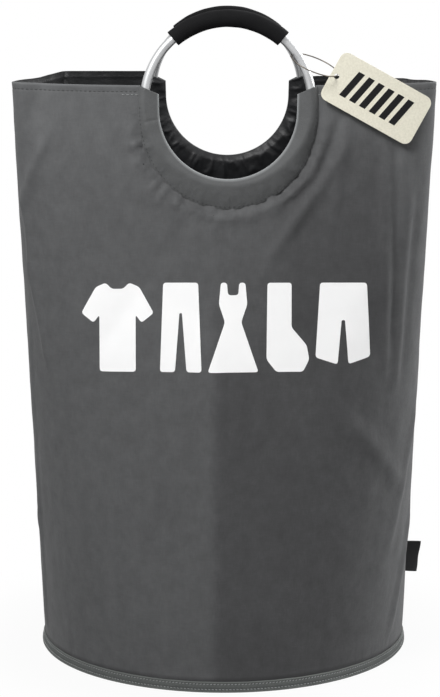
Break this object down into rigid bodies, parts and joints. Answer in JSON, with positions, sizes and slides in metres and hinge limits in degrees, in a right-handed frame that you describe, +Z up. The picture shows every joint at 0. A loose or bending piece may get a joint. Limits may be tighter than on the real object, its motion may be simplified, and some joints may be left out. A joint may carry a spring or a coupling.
{
  "type": "laundry hamper",
  "caption": "Tall free standing cloth laundry hamper with a four cornered mouth, round foot and two ring handles that lean in; its walls press down to a low pile.",
  "frame": {"origin": "on the floor, under the middle of the round foot", "axes": "+Z up, the printed front faces -Y, the side label and the tag are on the +X side"},
  "size_m": [0.5585, 0.5154, 0.8859],
  "materials": {
    "grey_cloth": "dull woven polyester, coated on the inside",
    "black_cloth": "smooth black coating",
    "binding_tape": "dull woven tape",
    "label_weave": "fine black satin weave",
    "aluminium": "bright satin anodised",
    "spigot_plastic": "plain moulded",
    "grip_foam": "dull closed cell foam",
    "card": "uncoated speckled card",
    "steel_wire": "dull drawn wire"
  },
  "bodies": {
    "root": {"front_panel": "grey_cloth", "back_panel": "grey_cloth", "base_panel": "black_cloth", "foot_binding": "binding_tape", "left_seam_tape": "black_cloth", "right_seam_tape": "black_cloth", "side_label": "label_weave"},
    "mouth": {"front_left_corner": "grey_cloth", "front_right_corner": "grey_cloth", "back_left_corner": "grey_cloth", "back_right_corner": "grey_cloth", "left_seam_tape_upper": "black_cloth", "right_seam_tape_upper": "black_cloth"},
    "front_handle": {"front_flap": "grey_cloth", "front_sleeve": "grey_cloth"},
    "front_ring": {"front_ring_tube": "aluminium", "front_tube_spigot": "spigot_plastic", "front_grip": "grip_foam"},
    "back_handle": {"back_flap": "grey_cloth", "back_sleeve": "grey_cloth"},
    "back_ring": {"back_ring_tube": "aluminium", "back_tube_spigot": "spigot_plastic", "back_grip": "grip_foam"},
    "tag_loop": {"tag_wire_loop": "steel_wire"},
    "tag": {"tag_card": "card"}
  },
  "joints": [
    {"name": "collapse", "type": "slide", "parent": "root", "child": "mouth", "axis": [0, 0, -1], "range_m": [0, 0.48], "stiffness_N_per_m": 20, "springref_m": -0.45, "deforming": ["front_panel", "back_panel", "left_seam_tape", "right_seam_tape", "side_label"]},
    {"name": "front_handle_lean", "type": "hinge", "parent": "mouth", "child": "front_handle", "pos_m": [0, -0.19833, 0.55993], "axis": [-1, 0, 0], "range_deg": [0, 30], "stiffness_Nm_per_rad": 0.4, "springref_deg": -14.32},
    {"name": "back_handle_lean", "type": "hinge", "parent": "mouth", "child": "back_handle", "pos_m": [0, 0.19833, 0.55993], "axis": [1, 0, 0], "range_deg": [0, 30], "stiffness_Nm_per_rad": 0.4, "springref_deg": -14.32},
    {"name": "front_ring_turn", "type": "hinge", "parent": "front_handle", "child": "front_ring", "pos_m": [0.0055, -0.17852, 0.76711], "axis": [0, -0.9951, 0.0987], "range_deg": [-8, 30]},
    {"name": "back_ring_turn", "type": "hinge", "parent": "back_handle", "child": "back_ring", "pos_m": [0.0055, 0.17852, 0.76711], "axis": [0, 0.9951, 0.0987], "range_deg": [-30, 30]},
    {"name": "tag_loop_swing", "type": "hinge", "parent": "front_handle", "child": "tag_loop", "pos_m": [0.09785, -0.17299, 0.82284], "axis": [0, -0.0987, -0.9951], "range_deg": [0, 60]},
    {"name": "tag_card_swing", "type": "hinge", "parent": "tag_loop", "child": "tag", "pos_m": [0.14428, -0.18571, 0.80357], "axis": [0, 0.9951, -0.0987], "range_deg": [-20, 61]}
  ],
  "couplings": [
    {"joint": "tag_loop_swing", "follows": "front_handle_lean", "ratio": 2}
  ]
}
